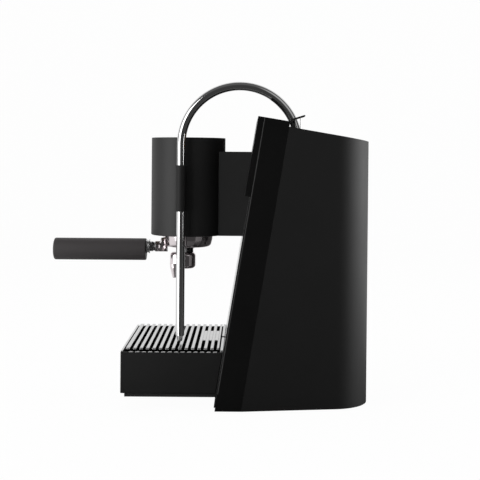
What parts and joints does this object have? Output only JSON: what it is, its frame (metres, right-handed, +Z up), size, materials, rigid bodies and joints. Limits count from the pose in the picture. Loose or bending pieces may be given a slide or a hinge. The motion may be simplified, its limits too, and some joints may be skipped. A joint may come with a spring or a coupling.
{
  "type": "pump coffee machine",
  "caption": "Black pump coffee machine with a leaning housing, round brewing group on an arm, turning filter holder, swivelling steam pipe and pull-out drip tray.",
  "frame": {"origin": "on the table, under the middle of the whole machine", "axes": "+Z up, -X towards the filter holder's handle at the front, +X towards the mains inlet"},
  "size_m": [0.3724, 0.18, 0.369],
  "materials": {
    "casing_paint": "satin black powder coat",
    "group_paint": "satin black powder coat",
    "panel_plastic": "matte black",
    "front_steel": "polished sheet",
    "button_plastic": "satin",
    "lamp_lens": "clear amber",
    "board_laminate": "board",
    "base_plastic": "matte black",
    "soft_rubber": "matte",
    "carrier_paint": "black coat",
    "tray_plastic": "fine matte black",
    "grill_steel": "satin",
    "pipe_chrome": "polished",
    "grip_plastic": "warm dark grey matte",
    "sleeve_rubber": "matte black",
    "turned_brass": "turned",
    "boiler_alloy": "cast",
    "bright_steel": "bright",
    "tank_clear": "smoked clear",
    "inlet_plastic": "matte black",
    "pump_shell": "moulded",
    "lever_paint": "black"
  },
  "bodies": {
    "machine": {"front_casing": "casing_paint", "rear_shell": "casing_paint", "group_housing": "group_paint", "group_cap": "group_paint", "group_arm": "group_paint", "control_panel": "panel_plastic", "steam_gland": "panel_plastic", "front_plate": "front_steel", "indicator_lamps": "lamp_lens", "control_board": "board_laminate", "thermostat": "board_laminate", "base_plate": "base_plastic", "tank_seat": "base_plastic", "rubber_feet": "soft_rubber", "group_gasket": "soft_rubber", "pump_saddles": "soft_rubber", "suction_hose": "soft_rubber", "pressure_hose": "soft_rubber", "steam_line": "soft_rubber", "tray_carrier": "carrier_paint", "steam_valve": "turned_brass", "bayonet_ring": "turned_brass", "boiler": "boiler_alloy", "heating_element": "bright_steel", "shower_screen": "bright_steel", "screen_screw": "bright_steel", "lid_pin": "bright_steel", "lever_pin": "bright_steel", "water_tank": "tank_clear", "power_inlet": "inlet_plastic", "pump": "pump_shell", "lever_ears": "lever_paint"},
    "tray": {"drip_tray": "tray_plastic", "drip_grill": "grill_steel"},
    "lid": {"tank_lid": "casing_paint"},
    "wand": {"steam_pipe": "pipe_chrome", "grip_sleeve": "sleeve_rubber", "steam_nozzle": "pipe_chrome"},
    "lever": {"steam_lever": "lever_paint"},
    "stem": {"valve_stem": "bright_steel"},
    "power_key": {"power_button": "button_plastic"},
    "coffee_key": {"coffee_button": "button_plastic"},
    "steam_key": {"steam_button": "button_plastic"},
    "holder": {"filter_holder": "pipe_chrome", "pod_basket": "bright_steel", "handle_ferrule": "pipe_chrome", "handle_grip": "grip_plastic", "spout_nut": "pipe_chrome", "spout": "pipe_chrome"}
  },
  "joints": [
    {"name": "tray_slide", "type": "slide", "parent": "machine", "child": "tray", "axis": [-1, 0, 0], "range_m": [0, 0.12]},
    {"name": "lid_hinge", "type": "hinge", "parent": "machine", "child": "lid", "pos_m": [0.15843, 0, 0.30327], "axis": [0, 1, 0], "range_deg": [0, 80]},
    {"name": "wand_swivel", "type": "hinge", "parent": "machine", "child": "wand", "pos_m": [0.1021, -0.053, 0.297], "axis": [0, 0, 1], "range_deg": [0, 60]},
    {"name": "lever_press", "type": "hinge", "parent": "machine", "child": "lever", "pos_m": [0.09476, -0.076, 0.32237], "axis": [0, 1, 0], "range_deg": [0, 30], "stiffness_Nm_per_rad": 0.08},
    {"name": "stem_slide", "type": "slide", "parent": "machine", "child": "stem", "axis": [0, 0, -1], "range_m": [0, 0.00465]},
    {"name": "power_press", "type": "slide", "parent": "machine", "child": "power_key", "axis": [0.987, 0, -0.1607], "range_m": [0, 0.002], "stiffness_N_per_m": 400},
    {"name": "coffee_press", "type": "slide", "parent": "machine", "child": "coffee_key", "axis": [0.987, 0, -0.1607], "range_m": [0, 0.002], "stiffness_N_per_m": 400},
    {"name": "steam_press", "type": "slide", "parent": "machine", "child": "steam_key", "axis": [0.987, 0, -0.1607], "range_m": [0, 0.002], "stiffness_N_per_m": 400},
    {"name": "holder_turn", "type": "hinge", "parent": "machine", "child": "holder", "pos_m": [-0.0264, 0, 0.1901], "axis": [0, 0, 1], "range_deg": [-50, 0]}
  ],
  "couplings": [
    {"joint": "stem_slide", "follows": "lever_press", "m_per_rad": 0.0086828}
  ]
}
